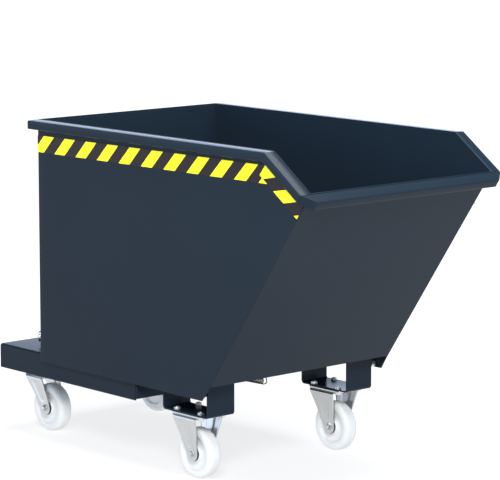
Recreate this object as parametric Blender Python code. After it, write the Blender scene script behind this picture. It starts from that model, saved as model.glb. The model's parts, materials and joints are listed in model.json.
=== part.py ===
"""Self-tipping skip on a low wheeled base, for Blender 4.5: metres, +Z up, +X to the pouring lip.

The origin is on the floor, under the middle of the whole skip. The near side is -Y.
"""

from math import atan2, cos, pi, radians, sin, tan

import bmesh
import bpy
from mathutils import Matrix, Vector

# Tub: a folded sheet-steel trough whose front panel leans forward.
REAR_X = -0.504                 # outer face of the upright rear panel
WALL_Y = 0.349                  # outer face of a side panel
SHEET = 0.003
RIM_TOP = 0.989
SKIRT_BOTTOM = 0.254            # lower edge of a side panel, below the floor
SKIRT_FRONT_X = 0.253
FLOOR_TOP = 0.299
SLOPE = radians(55)             # front panel, from level
CHAMFER_X = 0.551               # where the rim starts to drop towards the lip
RIM_WIDTH = 0.036
RIM_DEPTH = 0.027
REAR_PANEL_BOTTOM = 0.281
RUNNER = (0.030, 0.0195)        # width and depth of the bars under the floor
RUNNER_Y = 0.165
RUNNER_X = (-0.490, 0.090)

# Hazard tape on the side panels, just below the rim.
TAPE_WIDTH = 0.050
TAPE_THICK = 0.0008
TAPE_DROP = 0.0445              # from the rim's top to the tape's upper edge
TAPE_CHAMFER_DROP = 0.036       # the same, square to the chamfer
TAPE_END = 0.503                # x where the level strip stops
TAPE_JOIN = 0.0005              # between the two strips

# Base: a folded tray with two fork pockets, and two castor brackets ahead of it.
TRAY_REAR_X = -0.7257
TRAY_FRONT_X = -0.037
TRAY_Y = 0.334
TRAY_TOP = 0.275
TRAY_SHEET = 0.004
TRAY_BEND = 0.008               # outer bend radius
PLATE_LEVEL = 0.2015            # underside of the tray and its pockets, where the rear castors bolt on
FRONT_FLANGE_BOTTOM = 0.212
FRONT_FLANGE_Y = 0.3206
SIDE_FLANGE_FRONT_X = -0.058
POCKET_Y = (0.118, 0.282)
POCKET_WALL = 0.005
ARM_Y = (0.3213, 0.3293)
ARM_REAR_X = -0.300
BRACKET_X = (0.043, 0.242)
BRACKET_Y = (0.2205, 0.3210)
BRACKET_SHEET = 0.005
BRACKET_BOTTOM = 0.194          # underside that the front castors bolt to
BRACKET_TOP = 0.286
BRACKET_BEND = 0.011
PIVOT = (0.222, 0.268)          # x and z of the tipping axis
PIN_RADIUS = 0.008

# Swing latch behind the tub.
LATCH_PIVOT = (-0.583, -0.213)
LATCH_LEVEL = 0.2995            # underside of the latch plate
LATCH_SHEET = 0.008
LATCH_OPEN = radians(50)        # the stored pose: swung clear of the cleat

# Tension spring under the floor.
SPRING_Y = -0.091
SPRING_Z = 0.2665
SPRING_X = (0.020, 0.198)
SPRING_RADIUS = 0.0105
SPRING_EYE = 0.0035             # radius of the rod and the hook at its ends
SPRING_LUG_X = 0.2335           # the eye in the lug on the tub

# Castors.
WHEEL_RADIUS = 0.074
WHEEL_WIDTH = 0.044
FRONT_WHEEL = (0.145, 0.268)
REAR_KINGPIN = (-0.668, 0.211)
TRAIL = 0.043
RACE_DEPTH = 0.032              # from the plate's underside to the swivel fork's crown
PLATE_SHEET = 0.005
FRONT_PLATE = (0.135, 0.105)
REAR_PLATE = (0.110, 0.135)
FORK_FOOT = 0.022               # radius of a leg's round end, about the axle
FORK_SHEET = 0.0035
FORK_GAP = 0.053                # clear width between the legs
AXLE_RADIUS = 0.006
HUB_RADIUS = 0.013

GAP = 0.0003
ROUND = 32                      # sides of a wheel
FINE = 16                       # sides of a bolt or a bush

RAL_ANTHRACITE = (0.030, 0.043, 0.058)
ZINC = (0.62, 0.62, 0.60)


# ---------------------------------------------------------------- helpers

def paint(name, colour, roughness, metallic=0.0):
    """A Principled material."""
    material = bpy.data.materials.new(name)
    material.use_nodes = True
    shader = material.node_tree.nodes["Principled BSDF"]
    shader.inputs["Base Color"].default_value = (*colour, 1)
    shader.inputs["Roughness"].default_value = roughness
    shader.inputs["Metallic"].default_value = metallic
    material.diffuse_color = (*colour, 1)
    return material


def empty(name, location, parent=None):
    """An empty on a joint's axis."""
    holder = bpy.data.objects.new(name, None)
    bpy.context.scene.collection.objects.link(holder)
    holder.parent = parent
    offset = Vector(world_place(parent)) if parent else Vector()
    holder.location = Vector(location) - offset
    holder.empty_display_size = 0.03
    return holder


def world_place(holder):
    """World position of an unturned empty."""
    place = Vector()
    while holder:
        place += holder.location
        holder = holder.parent
    return place


def add(name, mesh, material, parent, smooth=None):
    """Names a bmesh given in world coordinates, with its origin on its parent empty."""
    bmesh.ops.remove_doubles(mesh, verts=mesh.verts, dist=1e-6)
    bmesh.ops.recalc_face_normals(mesh, faces=mesh.faces)
    origin = world_place(parent)
    bmesh.ops.translate(mesh, verts=mesh.verts, vec=-origin)
    data = bpy.data.meshes.new(name)
    mesh.to_mesh(data)
    mesh.free()
    part = bpy.data.objects.new(name, data)
    bpy.context.scene.collection.objects.link(part)
    part.data.materials.append(material)
    part.parent = parent
    if smooth:
        data.shade_smooth()
        data.set_sharp_from_angle(angle=radians(smooth))
    return part


def bevel(part, width, segments=2, angle=40):
    """Rounds a part's sharp edges."""
    modifier = part.modifiers.new("bevel", "BEVEL")
    modifier.width = width
    modifier.segments = segments
    modifier.limit_method = "ANGLE"
    modifier.angle_limit = radians(angle)
    return part


def combine(part, other, operation="DIFFERENCE"):
    """A Boolean with a hidden helper object."""
    other.hide_render = True
    other.display_type = "WIRE"
    other.name = part.name + "_helper"
    modifier = part.modifiers.new(operation.lower(), "BOOLEAN")
    modifier.operation = operation
    modifier.solver = "EXACT"
    modifier.object = other
    return part


def slab(low, high):
    """A box between two corners."""
    mesh = bmesh.new()
    bmesh.ops.create_cube(mesh, size=1)
    for vert in mesh.verts:
        vert.co = Vector([(low[i] + high[i]) / 2 + vert.co[i] * (high[i] - low[i]) for i in range(3)])
    return mesh


def prism(outline, start, end, axis="Y"):
    """An outline extruded from start to end along an axis; it holds the two other axes' values in order."""
    mesh = bmesh.new()

    def point(pair, along):
        first, second = pair
        return {"X": (along, first, second), "Y": (first, along, second), "Z": (first, second, along)}[axis]

    lower = [mesh.verts.new(point(pair, start)) for pair in outline]
    upper = [mesh.verts.new(point(pair, end)) for pair in outline]
    mesh.faces.new(lower)
    mesh.faces.new(upper[::-1])
    for i in range(len(outline)):
        j = (i + 1) % len(outline)
        mesh.faces.new((lower[i], lower[j], upper[j], upper[i]))
    return mesh


def rounded(corners, steps=5):
    """An outline from corners given as (first, second, radius), with arcs at the rounded ones."""
    outline = []
    count = len(corners)
    for i, (first, second, radius) in enumerate(corners):
        here = Vector((first, second))
        if not radius:
            outline.append(tuple(here))
            continue
        before = (Vector(corners[i - 1][:2]) - here).normalized()
        after = (Vector(corners[(i + 1) % count][:2]) - here).normalized()
        half = before.angle(after) / 2
        centre = here + (before + after).normalized() * radius / sin(half)
        begin = here + before * radius / tan(half) - centre
        turn = before.x * after.y - before.y * after.x
        sweep = (2 * half - pi) * (1 if turn > 0 else -1)
        for k in range(steps + 1):
            angle = sweep * k / steps
            spoke = Vector((
                begin.x * cos(angle) - begin.y * sin(angle), begin.x * sin(angle) + begin.y * cos(angle),
            ))
            outline.append(tuple(centre + spoke))
    return outline


def ring(centre, radius, count=ROUND, start=0.0):
    """A closed circle of points."""
    return [
        (centre[0] + radius * cos(start + 2 * pi * k / count),
        centre[1] + radius * sin(start + 2 * pi * k / count))
        for k in range(count)
    ]


def turned(profile, centre, axis="Y", steps=ROUND):
    """A closed profile of (radius, height) turned about an axis through centre; radius 0 closes a pole."""
    mesh = bmesh.new()
    rows = []
    for radius, height in profile:
        if radius < 1e-7:
            rows.append([mesh.verts.new((0, 0, height))])
        else:
            rows.append([mesh.verts.new((x, y, height)) for x, y in ring((0, 0), radius, steps)])
    for i, row in enumerate(rows):
        after = rows[(i + 1) % len(rows)]
        for k in range(steps):
            j = (k + 1) % steps
            corners = [row[k % len(row)], row[j % len(row)], after[j % len(after)], after[k % len(after)]]
            unique = list(dict.fromkeys(corners))
            if len(unique) > 2:
                mesh.faces.new(unique)
    if axis == "Y":
        bmesh.ops.rotate(mesh, verts=mesh.verts, matrix=Matrix.Rotation(-pi / 2, 3, "X"))
    bmesh.ops.translate(mesh, verts=mesh.verts, vec=centre)
    return mesh


def hexagon(centre, across_flats, start, end, axis):
    """A hexagonal head or nut."""
    return prism(ring(centre, across_flats / 2 / cos(pi / 6), 6), start, end, axis)


# ---------------------------------------------------------------- the tub's side view

def slope_x(height, offset=0.0):
    """x of the front panel at a height; offset is measured square to the panel, forward."""
    return SKIRT_FRONT_X + (height - SKIRT_BOTTOM) / tan(SLOPE) + offset / sin(SLOPE)


# The chamfer drops square to the front panel and meets it at the lip.
drop = 1 / tan(SLOPE)
LIP_X = (slope_x(0) + (RIM_TOP + CHAMFER_X * drop) / tan(SLOPE)) / (1 + drop / tan(SLOPE))
LIP_Z = RIM_TOP - (LIP_X - CHAMFER_X) * drop
UP = Vector((cos(SLOPE), sin(SLOPE)))            # up along the front panel, in x and z
OUT = Vector((sin(SLOPE), -cos(SLOPE)))          # square to it, forward and down


def along_lip(out, up):
    """x and z of a point given from the lip's corner: out along OUT, up along UP."""
    point = Vector((LIP_X, LIP_Z)) + OUT * out + UP * up
    return point.x, point.y


def side_panel(side):
    """A side panel with its skirt, and the hole that the pivot pin is welded into."""
    outline = [
        (REAR_X, SKIRT_BOTTOM), (SKIRT_FRONT_X, SKIRT_BOTTOM), (LIP_X, LIP_Z),
        (CHAMFER_X, RIM_TOP), (REAR_X, RIM_TOP),
    ]
    name = "tub_side_panel_" + SIDES[side]
    panel = add(name, prism(outline, side * (WALL_Y - SHEET), side * WALL_Y), coat, tub)
    reach = sorted((side * (WALL_Y - 0.02), side * (WALL_Y + 0.02)))
    hole = add("hole", prism(ring(PIVOT, PIN_RADIUS + GAP, FINE), *reach), coat, tub)
    return combine(panel, hole)


def tub_panels():
    """Rear, floor and front panels, which fit between the side panels."""
    half = WALL_Y - SHEET - GAP
    rear = slab((REAR_X, -half, REAR_PANEL_BOTTOM), (REAR_X + SHEET, half, RIM_TOP))
    add("tub_rear_panel", rear, coat, tub)
    floor_end = slope_x(FLOOR_TOP - SHEET / 2, -SHEET) - 0.0015
    floor = slab((REAR_X + SHEET + GAP, -half, FLOOR_TOP - SHEET), (floor_end, half, FLOOR_TOP))
    add("tub_floor_panel", floor, coat, tub)
    foot = FLOOR_TOP - SHEET
    front = [
        (slope_x(foot), foot), along_lip(0, 0), along_lip(-SHEET, 0), (slope_x(foot, -SHEET), foot),
    ]
    add("tub_front_panel", prism(front, -half, half), coat, tub)


def rim(side):
    """The rim along one side and down its chamfer, cut back at the lip's corner."""
    low = RIM_TOP - RIM_DEPTH
    bend = CHAMFER_X - RIM_DEPTH * tan((pi / 2 - SLOPE) / 2)
    outline = [
        (REAR_X, RIM_TOP), (CHAMFER_X, RIM_TOP), along_lip(RIM_WIDTH, 0),
        along_lip(RIM_WIDTH, -RIM_DEPTH), (bend, low), (REAR_X, low),
    ]
    inner = side * (WALL_Y + GAP)
    outer = side * (WALL_Y + RIM_WIDTH)
    mesh = prism(outline, inner, outer)
    corner = Vector((*along_lip(-SHEET, 0), 0)).xzy
    corner.y = outer
    across = Vector((OUT.x, -side, OUT.y))
    normal = across.cross(Vector((UP.x, 0, UP.y))) * -side
    cut = bmesh.ops.bisect_plane(
        mesh, geom=mesh.verts[:] + mesh.edges[:] + mesh.faces[:], plane_co=corner, plane_no=normal,
        clear_outer=True,
    )
    edges = [item for item in cut["geom_cut"] if isinstance(item, bmesh.types.BMEdge)]
    bmesh.ops.contextual_create(mesh, geom=edges)
    return bevel(add("rim_tube_" + SIDES[side], mesh, coat, tub), 0.003, 3)


def lip():
    """The tube along the pouring edge, between the side rims' ends."""
    outline = [
        along_lip(GAP, 0), along_lip(RIM_WIDTH, 0),
        along_lip(RIM_WIDTH, -RIM_DEPTH), along_lip(GAP, -RIM_DEPTH),
    ]
    half = WALL_Y - GAP
    return bevel(add("lip_tube", prism(outline, -half, half), coat, tub), 0.003, 3)


def tapes(side):
    """Two strips of hazard tape on a side panel: one level, one along the chamfer."""
    face = sorted((side * (WALL_Y + 0.0001), side * (WALL_Y + 0.0001 + TAPE_THICK)))
    along = Vector((OUT.x, OUT.y))
    upper = Vector((CHAMFER_X, RIM_TOP)) - UP * TAPE_CHAMFER_DROP
    start = upper
    lower = start - UP * TAPE_WIDTH - along * 0.012
    # The chamfer's strip is cut off along the front panel.
    reach = (Vector((LIP_X, LIP_Z)) - Vector((CHAMFER_X, RIM_TOP))).length - 0.006
    last = upper + along * reach
    outline = [tuple(start), tuple(lower), tuple(last - UP * TAPE_WIDTH), tuple(last)]
    add("hazard_tape_chamfer_" + SIDES[side], prism(outline, *face), tape, tub)
    # The level strip stops against it.
    top = RIM_TOP - TAPE_DROP
    bottom = top - TAPE_WIDTH
    under = lower.y - (TAPE_END - lower.x) * along.y / -along.x
    lean = (start.x - lower.x) / (start.y - lower.y)
    level = [
        (REAR_X, bottom), (TAPE_END, bottom), (TAPE_END, under - TAPE_JOIN),
        (lower.x - TAPE_JOIN, lower.y), (lower.x + (top - lower.y) * lean - TAPE_JOIN, top), (REAR_X, top),
    ]
    add("hazard_tape_side_" + SIDES[side], prism(level, *face), tape, tub)


def runner(side):
    """A bar under the floor that stands on the tray."""
    middle = side * RUNNER_Y
    top = FLOOR_TOP - SHEET - GAP
    low = (RUNNER_X[0], middle - RUNNER[0] / 2, TRAY_TOP + GAP)
    add("floor_runner_" + SIDES[side], slab(low, (RUNNER_X[1], middle + RUNNER[0] / 2, top)), coat, tub)


def pivot_pin(side):
    """A pin with a collar, welded into the skirt, and the nut on its inner end."""
    inner = ARM_Y[0] - 0.014
    collar = (ARM_Y[1] + GAP, WALL_Y - SHEET - GAP)
    profile = [
        (0, inner), (PIN_RADIUS - 0.001, inner), (PIN_RADIUS, inner + 0.001), (PIN_RADIUS, collar[0]),
        (0.013, collar[0]), (0.013, collar[1]), (PIN_RADIUS, collar[1]), (PIN_RADIUS, WALL_Y), (0, WALL_Y),
    ]
    profile = [(radius, side * height) for radius, height in profile]
    mesh = turned(profile, (PIVOT[0], 0, PIVOT[1]), "Y", FINE)
    add("pivot_pin_" + SIDES[side], mesh, zinc, tub, 40)
    reach = sorted((side * (ARM_Y[0] - 0.010), side * (ARM_Y[0] - GAP)))
    nut = add("pivot_nut_" + SIDES[side], hexagon(PIVOT, 0.022, *reach, "Y"), zinc, tub)
    hole = add("hole", prism(ring(PIVOT, PIN_RADIUS + GAP, FINE), side * 0.2, side * 0.4), zinc, tub)
    combine(nut, hole)


def tub_fittings():
    """The cleat that the latch holds down, and the lug that the spring hooks on to."""
    y = LATCH_PIVOT[1]
    top = LATCH_LEVEL - 0.0008
    cleat = slab((REAR_X - 0.034, y - 0.022, top - 0.006), (REAR_X - GAP, y + 0.022, top))
    add("latch_cleat", cleat, coat, tub)
    low = SPRING_Z - 0.007
    ear = rounded([
        (SPRING_LUG_X - 0.0125, FLOOR_TOP - SHEET - GAP, 0),
        (SPRING_LUG_X + 0.012, FLOOR_TOP - SHEET - GAP, 0),
        (SPRING_LUG_X + 0.008, low, 0.006), (SPRING_LUG_X - 0.008, low, 0.006),
    ])
    lug = add("spring_lug", prism(ear, SPRING_Y - 0.002, SPRING_Y + 0.002), coat, tub)
    reach = (SPRING_Y - 0.02, SPRING_Y + 0.02)
    eye = add("hole", prism(ring((SPRING_LUG_X, SPRING_Z), SPRING_EYE, FINE), *reach), coat, tub)
    combine(lug, eye)


# ---------------------------------------------------------------- base

def tray():
    """The folded tray: open below and behind, with a shorter flange across its front."""
    outer = slab((TRAY_REAR_X, -TRAY_Y, PLATE_LEVEL), (TRAY_FRONT_X, TRAY_Y, TRAY_TOP))
    folds = [
        edge for edge in outer.edges
        if all(vert.co.z > 0.25 for vert in edge.verts) and not all(vert.co.x < -0.5 for vert in edge.verts)
    ]
    bmesh.ops.bevel(outer, geom=folds, offset=TRAY_BEND, segments=4, profile=0.5, affect="EDGES")
    body = add("base_tray", outer, coat, base, 30)
    wall = TRAY_SHEET
    inner = slab(
        (TRAY_REAR_X - 0.02, -TRAY_Y + wall, PLATE_LEVEL - 0.02),
        (TRAY_FRONT_X - wall, TRAY_Y - wall, TRAY_TOP - wall),
    )
    folds = [
        edge for edge in inner.edges
        if all(vert.co.z > 0.25 for vert in edge.verts) and not all(vert.co.x < -0.5 for vert in edge.verts)
    ]
    bmesh.ops.bevel(inner, geom=folds, offset=TRAY_BEND - wall, segments=3, profile=0.5, affect="EDGES")
    combine(body, add("hollow", inner, coat, base))
    trim = slab((TRAY_FRONT_X - 0.009, -0.4, 0.15), (TRAY_FRONT_X + 0.02, 0.4, FRONT_FLANGE_BOTTOM))
    combine(body, add("trim", trim, coat, base))
    for side in (-1, 1):
        reach = sorted((side * FRONT_FLANGE_Y, side * 0.4))
        relief = slab(
            (SIDE_FLANGE_FRONT_X, reach[0], 0.15), (TRAY_FRONT_X + 0.02, reach[1], TRAY_TOP + 0.02)
        )
        combine(body, add("relief", relief, coat, base))
    return body


def fork_pocket(side):
    """A rectangular tube for a lift truck's fork, below the tray's top."""
    top = TRAY_TOP - TRAY_SHEET - GAP
    rear, front = TRAY_REAR_X, TRAY_FRONT_X - TRAY_BEND - GAP
    wall = POCKET_WALL
    lows, highs = sorted((side * POCKET_Y[0], side * POCKET_Y[1]))
    section = rounded([
        (lows, PLATE_LEVEL, 0.008), (highs, PLATE_LEVEL, 0.008), (highs, top, 0.008), (lows, top, 0.008),
    ], 3)
    tube = add("fork_pocket_" + SIDES[side], prism(section, rear, front, "X"), coat, base)
    bore = rounded([
        (lows + wall, PLATE_LEVEL + wall, 0.003), (highs - wall, PLATE_LEVEL + wall, 0.003),
        (highs - wall, top - wall, 0.003), (lows + wall, top - wall, 0.003),
    ], 2)
    return combine(tube, add("bore", prism(bore, rear - 0.02, front + 0.02, "X"), coat, base))


def arm(side):
    """A flat bar from inside the tray to the tipping axis, where it carries the pivot pin."""
    under = TRAY_TOP - TRAY_BEND - 0.001
    px, pz = PIVOT
    outline = rounded([
        (ARM_REAR_X, 0.222, 0), (-0.048, 0.222, 0.006), (-0.020, 0.256, 0.006), (0.195, 0.256, 0),
        (px - 0.004, pz - 0.0155, 0.004), (px + 0.0155, pz - 0.0155, 0.0145),
        (px + 0.0155, pz + 0.0155, 0.0145),
        (-0.010, pz + 0.0155, 0.004), (-0.030, under, 0), (ARM_REAR_X, under, 0),
    ], 4)
    reach = sorted((side * ARM_Y[0], side * ARM_Y[1]))
    bar = add("base_arm_" + SIDES[side], prism(outline, *reach), coat, base)
    hole = add("hole", prism(ring(PIVOT, PIN_RADIUS + GAP, FINE), side * 0.3, side * 0.345), coat, base)
    return combine(bar, hole)


def castor_bracket(side):
    """A folded channel that a front castor bolts to, open at both ends."""
    x0, x1 = BRACKET_X
    sheet = BRACKET_SHEET
    bend = BRACKET_BEND
    outline = rounded([
        (x0, BRACKET_TOP, 0), (x0, BRACKET_BOTTOM, bend), (x1, BRACKET_BOTTOM, bend), (x1, BRACKET_TOP, 0),
        (x1 - sheet, BRACKET_TOP, 0), (x1 - sheet, BRACKET_BOTTOM + sheet, bend - sheet),
        (x0 + sheet, BRACKET_BOTTOM + sheet, bend - sheet), (x0 + sheet, BRACKET_TOP, 0),
    ])
    reach = sorted((side * BRACKET_Y[0], side * BRACKET_Y[1]))
    return add("castor_bracket_" + SIDES[side], prism(outline, *reach), coat, base, 30)


def latch():
    """The swing latch: its post on the tray, the flat hook, and the knob that a hand or foot moves."""
    px, py = LATCH_PIVOT
    post = turned([
        (0, TRAY_TOP + GAP), (0.014, TRAY_TOP + GAP), (0.014, LATCH_LEVEL - GAP), (0.006, LATCH_LEVEL - GAP),
        (0.006, LATCH_LEVEL + LATCH_SHEET + 0.009), (0, LATCH_LEVEL + LATCH_SHEET + 0.009),
    ], (px, py, 0), "Z", 24)
    add("latch_post", post, zinc, base, 40)
    nut = add(
        "latch_nut",
        hexagon(LATCH_PIVOT, 0.019, LATCH_LEVEL + LATCH_SHEET + GAP, LATCH_LEVEL + LATCH_SHEET + 0.008, "Z"),
        zinc, base,
    )
    bore = prism(ring(LATCH_PIVOT, 0.006 + GAP, FINE), 0.2, 0.4, "Z")
    combine(nut, add("hole", bore, zinc, base))
    turn = Matrix.Rotation(LATCH_OPEN, 2)
    shape = [
        (0.060, -0.013), (0.060, 0.013), (-0.016, 0.014),
        (-0.056, 0.012), (-0.056, -0.012), (-0.016, -0.014),
    ]
    outline = rounded([(*(turn @ Vector(corner) + Vector(LATCH_PIVOT)), 0.005) for corner in shape], 3)
    hook = add(
        "latch_hook", prism(outline, LATCH_LEVEL, LATCH_LEVEL + LATCH_SHEET, "Z"), zinc, latch_axis
    )
    combine(hook, add("hole", prism(ring(LATCH_PIVOT, 0.006 + GAP, FINE), 0.2, 0.4, "Z"), zinc, latch_axis))
    grip = turned(
        [(0, -0.0563), (0.0165, -0.0563), (0.0165, -0.0640), (0.0135, -0.0670), (0, -0.0670)],
        (0, 0, 0), "Z", 24
    )
    bmesh.ops.rotate(grip, verts=grip.verts, matrix=Matrix.Rotation(pi / 2, 3, "Y"))
    bmesh.ops.rotate(grip, verts=grip.verts, matrix=Matrix.Rotation(LATCH_OPEN, 3, "Z"))
    bmesh.ops.translate(grip, verts=grip.verts, vec=(px, py, LATCH_LEVEL + 0.003))
    add("latch_grip", grip, zinc, latch_axis, 40)


def spring():
    """The tension spring as one turned solid, from the tray's front flange almost to the lug."""
    x0, x1 = SPRING_X
    start = TRAY_FRONT_X + GAP
    end = SPRING_LUG_X - 0.0215
    profile = [
        (0, start), (SPRING_EYE, start), (SPRING_EYE, x0 - 0.008), (SPRING_RADIUS, x0), (SPRING_RADIUS, x1),
        (SPRING_EYE, x1 + 0.008), (SPRING_EYE, end), (0, end),
    ]
    mesh = turned(profile, (0, 0, 0), "Z", FINE)
    bmesh.ops.rotate(mesh, verts=mesh.verts, matrix=Matrix.Rotation(pi / 2, 3, "Y"))
    bmesh.ops.translate(mesh, verts=mesh.verts, vec=(0, SPRING_Y, SPRING_Z))
    add("tension_spring", mesh, dark_steel, base, 40)


# ---------------------------------------------------------------- castors

def wheel_profile():
    """A moulded wheel: hub, dished web and a tread with rounded shoulders."""
    half = WHEEL_WIDTH / 2
    bore = HUB_RADIUS
    rim_in = WHEEL_RADIUS * 0.70
    corner = 0.010
    tread = []
    for k in range(6):
        angle = pi / 2 * k / 5
        tread.append((WHEEL_RADIUS - corner + corner * cos(angle), half - corner + corner * sin(angle)))
    upper = [
        (bore, half), (0.024, half), (0.026, half - 0.004),
        (rim_in - 0.003, half - 0.007), (rim_in, half),
    ]
    upper += tread[::-1]
    upper += [(WHEEL_RADIUS + 0.0005, 0)]
    lower = [(radius, -height) for radius, height in upper[-2::-1]]
    return upper + lower


def castor_wheel(name, place, holder):
    """A wheel, its plain bearing sleeve, its axle bolt and the nut, about one axle."""
    x, y, z = place
    spin = empty(name + "_axle_line", place, holder)
    add(name + "_wheel", turned(wheel_profile(), place, "Y"), nylon, spin, 30)
    half = WHEEL_WIDTH / 2 + 0.0018
    sleeve = [
        (AXLE_RADIUS + GAP, -half), (HUB_RADIUS - GAP, -half),
        (HUB_RADIUS - GAP, half), (AXLE_RADIUS + GAP, half),
    ]
    add(name + "_bearing", turned(sleeve, place, "Y", FINE), dark_steel, spin, 40)
    leg = FORK_GAP / 2 + FORK_SHEET
    shank = turned([
        (0, -leg - 0.009), (0.0095, -leg - 0.009), (0.011, -leg - 0.0075), (0.011, -leg - GAP),
        (AXLE_RADIUS, -leg - GAP), (AXLE_RADIUS, leg + 0.010), (0, leg + 0.010),
    ], place, "Y", FINE)
    add(name + "_axle_bolt", shank, zinc, holder, 40)
    nut = add(
        name + "_axle_nut", hexagon((x, z), 0.018, y + leg + GAP, y + leg + 0.009, "Y"), zinc, holder
    )
    bore = prism(ring((x, z), AXLE_RADIUS + GAP, FINE), y, y + 0.08, "Y")
    combine(nut, add("hole", bore, zinc, holder))


def leg_outline(top, axle, low):
    """Side view of a fork leg: wide at the top, round about the axle. top is (x0, x1, z)."""
    x0, x1, z = top
    ax, az = axle
    outline = [(x0, z), (x1, z)]
    right = atan2(z - az, x1 - ax)
    left = atan2(z - az, x0 - ax)
    lean = 0.35
    start = right - pi / 2 + lean
    end = left + pi / 2 - lean - 2 * pi
    steps = 10
    for k in range(steps + 1):
        angle = start + (end - start) * k / steps
        outline.append((ax + low * cos(angle), az + low * sin(angle)))
    return outline


def fork(name, centre, crown, wide, axle, holder):
    """A pressed fork: a flat crown with a leg folded down on each side of the wheel."""
    cx, cy = centre
    inner = FORK_GAP / 2
    outer = inner + FORK_SHEET
    legs = leg_outline((cx + wide[0], cx + wide[1], crown), axle, FORK_FOOT)
    solid = add(name, prism(legs, cy - outer, cy + outer), zinc, holder)
    hollow = slab((cx - 0.2, cy - inner, 0), (cx + 0.2, cy + inner, crown - FORK_SHEET))
    combine(solid, add("hollow", hollow, zinc, holder))
    bore = prism(ring(axle, AXLE_RADIUS + GAP, FINE), cy - 0.06, cy + 0.06, "Y")
    combine(solid, add("hole", bore, zinc, holder))
    return solid


def front_castor(side):
    """A fixed castor: its top plate with the fork welded below, and the wheel."""
    x, y = FRONT_WHEEL[0], side * FRONT_WHEEL[1]
    name = "front_" + SIDES[side]
    top = BRACKET_BOTTOM - GAP
    half = (FRONT_PLATE[0] / 2, FRONT_PLATE[1] / 2)
    plate = prism(rounded([
        (x - half[0], y - half[1], 0.010), (x + half[0], y - half[1], 0.010),
        (x + half[0], y + half[1], 0.010), (x - half[0], y + half[1], 0.010),
    ], 3), top - PLATE_SHEET, top, "Z")
    add(name + "_castor_plate", plate, zinc, base)
    crown = top - PLATE_SHEET - GAP
    fork(name + "_fork", (x, y), crown, (-0.052, 0.052), (x, WHEEL_RADIUS + 0.0005), base)
    castor_wheel(name, (x, y, WHEEL_RADIUS + 0.0005), base)


def rear_castor(side):
    """A swivel castor: plate and race fixed to the base, fork and wheel turning about the kingpin."""
    x, y = REAR_KINGPIN[0], side * REAR_KINGPIN[1]
    name = "rear_" + SIDES[side]
    top = PLATE_LEVEL - GAP
    half = (REAR_PLATE[0] / 2, REAR_PLATE[1] / 2)
    plate = prism(rounded([
        (x - half[0], y - half[1], 0.010), (x + half[0], y - half[1], 0.010),
        (x + half[0], y + half[1], 0.010), (x - half[0], y + half[1], 0.010),
    ], 3), top - PLATE_SHEET, top, "Z")
    body = add(name + "_castor_plate", plate, zinc, base)
    race = turned([
        (0, top - 0.004), (0.036, top - 0.004), (0.036, top - 0.017), (0.030, top - 0.020),
        (0.030, top - RACE_DEPTH), (0, top - RACE_DEPTH),
    ], (x, y, 0), "Z", 24)
    combine(body, add("race", race, zinc, base), "UNION")
    bore = prism(ring((x, y), 0.0065, FINE), 0.15, 0.25, "Z")
    combine(body, add("hole", bore, zinc, base))
    swivel = empty(name + "_swivel_line", (x, y, 0), base)
    crown = top - RACE_DEPTH - GAP
    axle = (x + TRAIL, WHEEL_RADIUS + 0.0005)
    fork_part = fork(name + "_fork", (x, y), crown, (-0.057, 0.030), axle, swivel)
    bore = prism(ring((x, y), 0.0065, FINE), 0.16, 0.25, "Z")
    combine(fork_part, add("hole", bore, zinc, swivel))
    pin = turned([
        (0, crown - 0.0125), (0.010, crown - 0.0125), (0.010, crown - FORK_SHEET - GAP),
        (0.0062, crown - FORK_SHEET - GAP), (0.0062, top - 0.0005), (0, top - 0.0005),
    ], (x, y, 0), "Z", FINE)
    add(name + "_kingpin", pin, zinc, swivel, 40)
    castor_wheel(name, (axle[0], y, axle[1]), swivel)


# ---------------------------------------------------------------- build

for old in list(bpy.data.objects):
    bpy.data.objects.remove(old, do_unlink=True)

SIDES = {-1: "near", 1: "far"}
coat = paint("anthracite powder coat", RAL_ANTHRACITE, 0.35)
zinc = paint("zinc plated steel", ZINC, 0.35, 1.0)
dark_steel = paint("oiled spring steel", (0.05, 0.05, 0.055), 0.4, 0.8)
nylon = paint("white cast nylon", (0.80, 0.80, 0.78), 0.45)
tape = paint("hazard tape", (0.85, 0.75, 0.05), 0.4)

base = empty("base_frame", (0, 0, 0))
tub = empty("tipping_axis", (PIVOT[0], 0, PIVOT[1]), base)
latch_axis = empty("latch_axis_line", (*LATCH_PIVOT, LATCH_LEVEL), base)

tray()
tub_panels()
lip()
tub_fittings()
latch()
spring()
for side in SIDES:
    side_panel(side)
    rim(side)
    tapes(side)
    runner(side)
    pivot_pin(side)
    fork_pocket(side)
    arm(side)
    castor_bracket(side)
    front_castor(side)
    rear_castor(side)
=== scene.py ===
import json
from math import cos, pi, radians, sin, tan

import bmesh
import bpy
import numpy as np
from mathutils import Matrix, Vector


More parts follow.
